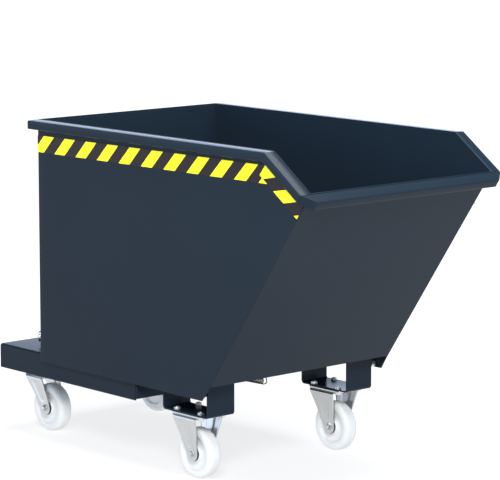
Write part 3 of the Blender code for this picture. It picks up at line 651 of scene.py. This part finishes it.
def tensionSpring():
    # helix: y = r sin a, z = r cos a about a line that climbs a little to the front;
    # the wire ends in an open hook
    turns = spring["turns"]
    t = np.linspace(0, 1, turns * 14)
    angle = 2 * pi * turns * t
    x = spring["from"] + (spring["to"] - spring["from"]) * t
    z = spring["fromZ"] + (spring["toZ"] - spring["fromZ"]) * t
    angle = angle + pi                                      # starts and ends at the bottom of a coil
    helix = np.stack([x, spring["y"] + spring["coil"] * np.sin(angle),
                      z + spring["coil"] * np.cos(angle)], -1)
    hook = np.array(spring["hook"])
    place = np.linspace(0, len(hook) - 1, 50)
    smooth = np.stack([np.interp(place, np.arange(len(hook)), hook[:, i]) for i in (0, 1)], -1)
    for turn in range(3):                                   # rounds the hook's corners
        smooth[1:-1] = (smooth[:-2] + 2 * smooth[1:-1] + smooth[2:]) / 4
    front = np.stack([smooth[:, 0], np.full(len(smooth), spring["y"]), smooth[:, 1]], -1)
    count = 12
    ease = np.linspace(0, 1, count) ** 2
    rear = np.stack([np.linspace(tray["frontFace"] + 0.001, spring["from"], count),
                     np.full(count, spring["y"]),
                     spring["fromZ"] - spring["coil"] * ease], -1)
    wire = np.concatenate([rear[:-1], helix, front[2:]])
    addPiece("tensionSpring", [ropeShell(wire, spring["wire"], 7)], springSteel, "base",
             ["tension_spring"], smooth=70)
    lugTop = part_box("tub_floor_panel")[0].z + 0.0004
    tab = roundPolygon([(spring["lug"][0], lugTop), (spring["lug"][0], spring["lugBottom"]),
                        (spring["lug"][1], spring["lugBottom"]), (spring["lug"][1], lugTop)],
                       [0, 0.003, 0.003, 0], 4)
    face = (spring["y"] - spring["lugHalf"], spring["y"] + spring["lugHalf"])
    addPiece("springLug", [prismShell(tab, *face)], coat, "tub", ["spring_lug"], bevel=0.0005)


for side in sides:
    forkPocket(side)
tensionSpring()
print("scene: base made")

latch = {
    "open": radians(50),
    "plate": [(0.060, -0.013), (0.060, 0.013), (-0.016, 0.014), (-0.056, 0.012), (-0.056, -0.012),
              (-0.016, -0.014)],
    "plateRound": [0.009, 0.006, 0.02, 0.004, 0.004, 0.02],
    "grip": 0.0165, "tail": 0.0563, "gripEdge": 0.006, "dome": 0.0046, "gripLift": 0.003,
}


def swingLatch():
    # the hook's plate is a rounded outline turned to its open pose; the grip is a domed disc on its tail
    low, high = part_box("latch_post")
    pivot = np.array([(low.x + high.x) / 2, (low.y + high.y) / 2])
    bottom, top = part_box("latch_hook")[0].z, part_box("latch_hook")[1].z
    turn = np.array([[cos(latch["open"]), -sin(latch["open"])], [sin(latch["open"]), cos(latch["open"])]])
    outline = roundPolygon(np.array(latch["plate"]) @ turn.T + pivot, latch["plateRound"], 6)
    addPiece("latchHook", [prismShell(outline, bottom, top, "Z")], zinc, "latch",
             ["latch_hook"], bevel=0.0012)
    radius, tail, edge = latch["grip"], latch["tail"], -latch["tail"] - latch["gripEdge"]
    profile = [(0.0001, -tail), (radius - 0.001, -tail), (radius, -tail - 0.001), (radius, edge)]
    profile += [(radius * cos(a), edge - latch["dome"] * sin(a)) for a in np.linspace(0.15, pi / 2 - 0.01, 7)]
    points, faces = latheShell(profile, (0, 0, 0), "X", 48)
    flat = points[:, :2] @ turn.T + pivot
    points = np.concatenate([flat, points[:, 2:] + bottom + latch["gripLift"]], 1)
    addPiece("latchGrip", [(points, faces)], zinc, "latch", ["latch_grip"])


swingLatch()
print("scene: latch made")

castor = {
    "gap": 0.0280, "sheet": 0.0035, "bend": 0.009, "foot": 0.0220, "rib": 0.0022, "ribWidth": 0.40,
    "splay": 0.0225, "rearSplay": 0.004, "reach": (0.0620, 0.0430), "rearReach": (0.0565, 0.0300),
    "plateSheet": 0.005, "plateRound": 0.010, "bolts": (0.0525, 0.0405), "rearBolts": (0.040, 0.0525),
    "wheelRadius": 0.0740, "wheelWidth": 0.044, "wheelRound": 0.0135,
    # the wheel's side: radius, and depth below its face
    "web": [(0.0128, 0), (0.0225, 0), (0.0240, 0.0012), (0.0252, 0.0055), (0.0275, 0.0070), (0.0455, 0.0062),
            (0.0480, 0.0050), (0.0500, 0.0012), (0.0520, 0)],
    # the swivel's ball race: radius, and height above the plate's underside; then the radii of its foot
    "race": [(0.0066, 0.001), (0.0360, 0.001), (0.0372, -0.002), (0.0372, -0.0105), (0.0350, -0.0135),
             (0.0310, -0.0145), (0.0310, -0.0165), (0.0335, -0.0180), (0.0335, -0.0230)],
    "raceFoot": (0.0300, 0.0066),
    # radius of the near-black discs beside the hub: part seal, part painted shade in the gap between hub and fork
    # leg
    "bore": 0.0063, "sleeve": 0.0125, "seal": 0.0225,
}
# radii and across-flats sizes; a Top is a height above the leg or the seat, and a lap is how far
# pieces overlap
axleBolt = {"washer": 0.0108, "washerTop": 0.0018, "hex": 0.0170, "hexTop": 0.0085, "tip": 0.0058,
            "tipFrom": 0.0080, "headTop": 0.0100, "nutTop": 0.0098, "rod": 0.0060, "past": 0.001,
            "lap": 0.0002}
plateBolt = {"hex": 0.0170, "head": 0.0066, "washer": 0.0098, "washerTop": 0.0016, "nut": 0.0165,
             "nutTop": 0.0072, "tip": 0.0046, "tipFrom": 0.0070, "tipTop": 0.0090, "lap": 0.0002}


def forkShell(axle, crown, topFrom, topTo, splay=0.0):
    # a strip bent into a U: its middle line runs up one leg, over the crown and down the other.
    # Its width narrows from the crown to a round foot about the axle, and a shallow panel is
    # pressed in each leg.
    # The legs splay: y moves outwards by splay * rise from the axle to the crown.
    ax, ay, az = axle
    gap, sheet, foot = castor["gap"], castor["sheet"], castor["foot"]
    outerY = gap + sheet
    straight = np.linspace(az - foot, crown - castor["bend"], 40)
    lean = splay * np.clip((straight - az) / (crown - castor["bend"] - az), 0, 1)
    leg = np.stack([-outerY - lean, straight], -1)
    arc = np.linspace(pi, pi / 2, 8)[1:]
    bend = np.stack([-outerY - splay + castor["bend"] + castor["bend"] * np.cos(arc),
                     crown - castor["bend"] + castor["bend"] * np.sin(arc)], -1)
    half = np.concatenate([leg, bend])
    path = np.concatenate([half, half[::-1] * np.array([-1, 1])])
    ahead = np.gradient(path, axis=0)
    ahead /= np.linalg.norm(ahead, axis=1, keepdims=True)
    normal = np.stack([-ahead[:, 1], ahead[:, 0]], -1)
    z = path[:, 1]
    rise = np.clip((z - az) / (crown - az), 0, 1)
    curve = rise ** 1.15
    left = ax - foot + (topFrom - ax + foot) * curve
    right = ax + foot + (topTo - ax - foot) * curve
    below = np.sqrt(np.clip(foot ** 2 - np.clip(az - z, 0, foot) ** 2, 1e-9, None))
    left, right = np.where(z < az, ax - below, left), np.where(z < az, ax + below, right)
    across = np.linspace(-1, 1, 25)[None, :]
    x = (left + right)[:, None] / 2 + across * (right - left)[:, None] / 2
    # the pressed panel: a smooth step across the strip, faded out near the crown and the axle
    step = np.clip((castor["ribWidth"] - np.abs(across)) / 0.12 + 0.5, 0, 1)
    step = step * step * (3 - 2 * step)
    fade = np.clip((z - az - 0.016) / 0.008, 0, 1) * np.clip((crown - 0.012 - z) / 0.008, 0, 1)
    edge = np.clip((np.abs(across) - 0.90) / 0.10, 0, 1) ** 2
    sink = castor["rib"] * step * fade[:, None] + 0.0012 * edge * np.clip((z - az) / 0.02, 0, 1)[:, None]
    y = ay + path[:, :1] - normal[:, :1] * sink
    height = path[:, 1:] - normal[:, 1:] * sink
    outer = np.stack([x, y, np.broadcast_to(height, x.shape)], -1)
    inner = outer.copy()
    inner[..., 1] -= normal[:, :1] * sheet
    inner[..., 2] -= normal[:, 1:] * sheet
    return thickShell(outer, inner)


def wheelShell(centre):
    # half profile of hub, dished web and rounded tread, mirrored about the wheel's middle plane and turned
    radius, wide = castor["wheelRadius"], castor["wheelWidth"] / 2
    corner = castor["wheelRound"]
    angle = np.linspace(pi / 2, 0, 9)
    tread = np.stack([radius - corner + corner * np.cos(angle), wide - corner + corner * np.sin(angle)], -1)
    web = np.array([(reach, wide - depth) for reach, depth in castor["web"]])
    half = np.concatenate([web, tread, [(radius + 0.0005, 0.0)]])
    profile = np.concatenate([half, (half * np.array([1, -1]))[-2::-1]])
    return latheShell(profile, centre, "Y", 96)


def bearingShell(centre):
    # sleeve in the hub with a near-black disc at each end, between the hub and the fork's legs: part seal, part
    # painted shade for the shadow in that gap
    inner, outer, seal = castor["bore"], castor["sleeve"], castor["seal"]
    hub, end = castor["wheelWidth"] / 2 - 0.0015, castor["gap"] - 0.0006
    half = [(inner, end), (seal - 0.002, end), (seal, end - 0.0015), (seal, hub + 0.002),
            (outer, hub + 0.002)]
    return latheShell(half + [(radius, -height) for radius, height in half[::-1]], centre, "Y", 48)


def hexShell(centre, acrossFlats, start, end, axis, turn=0.0):
    # a hexagon whose corners lie at half its across-flats size / cos 30 degrees
    return prismShell(circle(centre, acrossFlats / 2 / cos(pi / 6), 6, turn), start, end, axis)


def discShell(centre, radius, start, end, axis, steps=32):
    # a short round bar
    return prismShell(circle(centre, radius, steps), start, end, axis)


def axleShells(axle):
    # a washer, a hexagon and a tip on each leg: the bolt's head on the near one, its nut on the far one
    ax, ay, az = axle
    spot, lap, past = (ax, az), axleBolt["lap"], axleBolt["past"]
    leg = castor["gap"] + castor["sheet"]
    span = lambda way, low, high: sorted((ay + way * (leg + low), ay + way * (leg + high)))
    shells = []
    for way, turn, top in ((-1, 0.3, axleBolt["headTop"]), (1, 0.1, axleBolt["nutTop"])):
        seat = axleBolt["washerTop"]
        shells += [discShell(spot, axleBolt["washer"], *span(way, -lap, seat), "Y"),
                   hexShell(spot, axleBolt["hex"], *span(way, seat - lap, axleBolt["hexTop"]), "Y", turn),
                   discShell(spot, axleBolt["tip"], *span(way, axleBolt["tipFrom"], top), "Y", 20)]
    return shells + [discShell(spot, axleBolt["rod"], ay - leg - past, ay + leg + past, "Y", 20)]


def plateBolts(name, centre, spacing, plateBottom, seat):
    # four bolts from below: a head under the plate, a nut and a thread's end on the sheet above
    shells = []
    lap, washerTop = plateBolt["lap"], seat + plateBolt["washerTop"]
    for i in (-1, 1):
        for j in (-1, 1):
            spot = (centre[0] + i * spacing[0], centre[1] + j * spacing[1])
            turn = 0.4 + 0.7 * i + 0.25 * j
            shells += [hexShell(spot, plateBolt["hex"], plateBottom - plateBolt["head"], plateBottom + lap,
                                "Z", turn),
                       discShell(spot, plateBolt["washer"], seat - lap, washerTop, "Z"),
                       hexShell(spot, plateBolt["nut"], washerTop - lap, seat + plateBolt["nutTop"], "Z",
                                turn + 0.3),
                       discShell(spot, plateBolt["tip"], seat + plateBolt["tipFrom"],
                                 seat + plateBolt["tipTop"], "Z", 20)]
    addPiece(name, shells, zinc, "base", bevel=0.0006)


def castorPlate(name, replaced, extra=()):
    # a rounded rectangle of sheet; returns the height of its underside
    low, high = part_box(replaced)
    under = high.z - castor["plateSheet"]
    outline = roundPolygon([(low.x, low.y), (high.x, low.y), (high.x, high.y), (low.x, high.y)],
                           castor["plateRound"], 6)
    addPiece(name, [prismShell(outline, under, high.z, "Z"), *extra], zinc, "base", [replaced],
             bevel=0.0008)
    return under


def jointPlace(body):
    # where the joint that carries a body is
    joint = next(row for row in frame["joints"] if row["child"] == body)
    return np.array(joint["pos_m"], float)


def castorSet(end, side):
    # one castor, fixed at the front and swivelling at the rear
    name = end + "_" + sides[side]
    wheelBody = name + "_wheel_set"
    axle = jointPlace(wheelBody)
    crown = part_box(name + "_fork")[1].z
    holder = "base" if end == "front" else name + "_swivel_fork"
    label = end.capitalize() + sides[side].capitalize()
    if end == "front":
        centre, (back, ahead), splay = axle[0], castor["reach"], castor["splay"]
    else:
        centre, (back, ahead), splay = jointPlace(holder)[0], castor["rearReach"], castor["rearSplay"]
    fork = forkShell(axle, crown, centre - back, centre + ahead, splay)
    addPiece("castorFork" + label, [fork], zinc, holder, [name + "_fork"], smooth=40)
    addPiece("castorAxle" + label, axleShells(axle), zinc, holder,
             [name + "_axle_bolt", name + "_axle_nut"], bevel=0.0006)
    addPiece("castorWheel" + label, [wheelShell(axle)], nylon, wheelBody, [name + "_wheel"],
             smooth=50)
    # near-black discs beside the hub: part seal, part painted shade in the gap between the wheel and the fork legs
    addPiece("castorSeal" + label, [bearingShell(axle)], springSteel, wheelBody,
             [name + "_bearing"], smooth=50)
    plateName = name + "_castor_plate"
    low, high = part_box(plateName)
    middle = ((low.x + high.x) / 2, (low.y + high.y) / 2)
    if end == "front":
        bottom = castorPlate("castorPlate" + label, plateName)
        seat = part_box("castor_bracket_near")[0].z + bracket["sheet"]
        plateBolts("castorBolts" + label, middle, castor["bolts"], bottom, seat)
    else:
        under = high.z - castor["plateSheet"]
        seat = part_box("fork_pocket_near")[0].z + pocket["wall"]
        profile = [(radius, under + rise) for radius, rise in castor["race"]]
        profile += [(radius, low.z) for radius in castor["raceFoot"]]
        castorPlate("castorPlate" + label, plateName, [latheShell(profile, (*middle, 0), "Z", 64)])
        plateBolts("castorBolts" + label, middle, castor["rearBolts"], under, seat)


for end in ("front", "rear"):
    for side in sides:
        castorSet(end, side)
print("scene: castors made")

studio = {
    "horizon": "#D6E6FF", "zenith": "#3F4853", "floor": "#7B7B7B", "grain": "#828282", "world": 2.6,
    "shade": 0.80, "bright": 1.06, "reach": (1.1, 2.6), "fade": (0.16, 0.34),
    "azimuth": 48.548, "elevation": 8.819, "eye": (5.92240, -5.17870, 1.86783), "lens": 194.635,
    # each lamp: its place, what it faces, its width and height, and its power in watts
    "lamps": {
        "topSoftbox": ((0.6, 0.2, 3.4), (0.6, 0.2, 0), (2.4, 3.0), 220.0),
        "sideKey": ((2.8, -2.9, 2.75), (0, 0.2, 0.7), (1.1, 1.1), 185.0),
    },
}


def studioFloor():
    # a wide flat disc of seamless paper, which glows more with distance so that it ends in white
    points, faces = prismShell(circle((0, 0), 14.0, 64), -0.02, 0.0, "Z")
    mesh = bpy.data.meshes.new("paperFloor")
    mesh.from_pydata(points.tolist(), [], faces)
    floor = bpy.data.objects.new("paperFloor", mesh)
    bpy.context.scene.collection.objects.link(floor)
    material, tree, shader, place = newMaterial("seamlessPaper",
                                                {"Roughness": 0.9, "Specular IOR Level": 0.0})
    grain = addNode(tree, "ShaderNodeTexNoise", {"Scale": 40.0}, {"Vector": place})
    tone = addNode(tree, "ShaderNodeMix", {"data_type": "RGBA"}, {0: grain.outputs[0]})
    tone.inputs[6].default_value = linear(studio["floor"])
    tone.inputs[7].default_value = linear(studio["grain"])
    tree.links.new(tone.outputs[2], shader.inputs["Base Color"])
    away = addNode(tree, "ShaderNodeVectorMath", {"operation": "LENGTH"}, {0: place})
    glow = addNode(tree, "ShaderNodeMapRange", {
        "interpolation_type": "SMOOTHSTEP", 1: studio["reach"][0], 2: studio["reach"][1],
        3: studio["shade"], 4: studio["bright"],
    }, {0: away.outputs["Value"]})
    shader.inputs["Emission Color"].default_value = (1, 1, 1, 1)
    tree.links.new(glow.outputs[0], shader.inputs["Emission Strength"])
    mesh.materials.append(material)


def studioWorld():
    # a pale backdrop all round that darkens overhead; the camera itself sees plain white
    world = bpy.data.worlds.new("studio")
    bpy.context.scene.world = world
    world.use_nodes = True
    tree = world.node_tree
    tree.nodes.clear()
    place = addNode(tree, "ShaderNodeTexCoord")
    split = addNode(tree, "ShaderNodeSeparateXYZ", {}, {0: place.outputs["Generated"]})
    ramp = addNode(tree, "ShaderNodeMapRange", {1: studio["fade"][0], 2: studio["fade"][1]},
                   {0: split.outputs["Z"]})
    tone = addNode(tree, "ShaderNodeMix", {"data_type": "RGBA"}, {0: ramp.outputs[0]})
    tone.inputs[6].default_value = linear(studio["horizon"])
    tone.inputs[7].default_value = linear(studio["zenith"])
    path = addNode(tree, "ShaderNodeLightPath")
    seen = addNode(tree, "ShaderNodeMix", {"data_type": "RGBA"},
                   {0: path.outputs["Is Camera Ray"], 6: tone.outputs[2]})
    seen.inputs[7].default_value = (1, 1, 1, 1)
    light = addNode(tree, "ShaderNodeBackground", {"Strength": studio["world"]}, {"Color": seen.outputs[2]})
    addNode(tree, "ShaderNodeOutputWorld", {}, {"Surface": light.outputs[0]})


def softbox(name, place, target, size, power):
    # an area lamp turned to face its target
    data = bpy.data.lights.new(name, "AREA")
    data.shape, data.size, data.size_y, data.energy = "RECTANGLE", size[0], size[1], power
    lamp = bpy.data.objects.new(name, data)
    bpy.context.scene.collection.objects.link(lamp)
    lamp.location = place
    lamp.rotation_euler = (Vector(target) - Vector(place)).to_track_quat("-Z", "Y").to_euler()


def studioCamera():
    # looks along the azimuth and elevation, from the eye
    turn, lift = radians(studio["azimuth"]), radians(studio["elevation"])
    right = Vector((cos(turn), sin(turn), 0))
    back = Vector((sin(turn) * cos(lift), -cos(turn) * cos(lift), sin(lift)))
    high = back.cross(right)
    data = bpy.data.cameras.new("studioCamera")
    data.lens, data.sensor_width, data.clip_end = studio["lens"], 36.0, 60.0
    camera = bpy.data.objects.new("studioCamera", data)
    bpy.context.scene.collection.objects.link(camera)
    turned = Matrix((right, high, back)).transposed().to_4x4()
    camera.matrix_world = Matrix.Translation(studio["eye"]) @ turned
    bpy.context.scene.camera = camera


studioFloor()
studioWorld()
for name, lamp in studio["lamps"].items():
    softbox(name, *lamp)
studioCamera()
bpy.context.scene.view_settings.view_transform = "Standard"
print("scene: studio made")
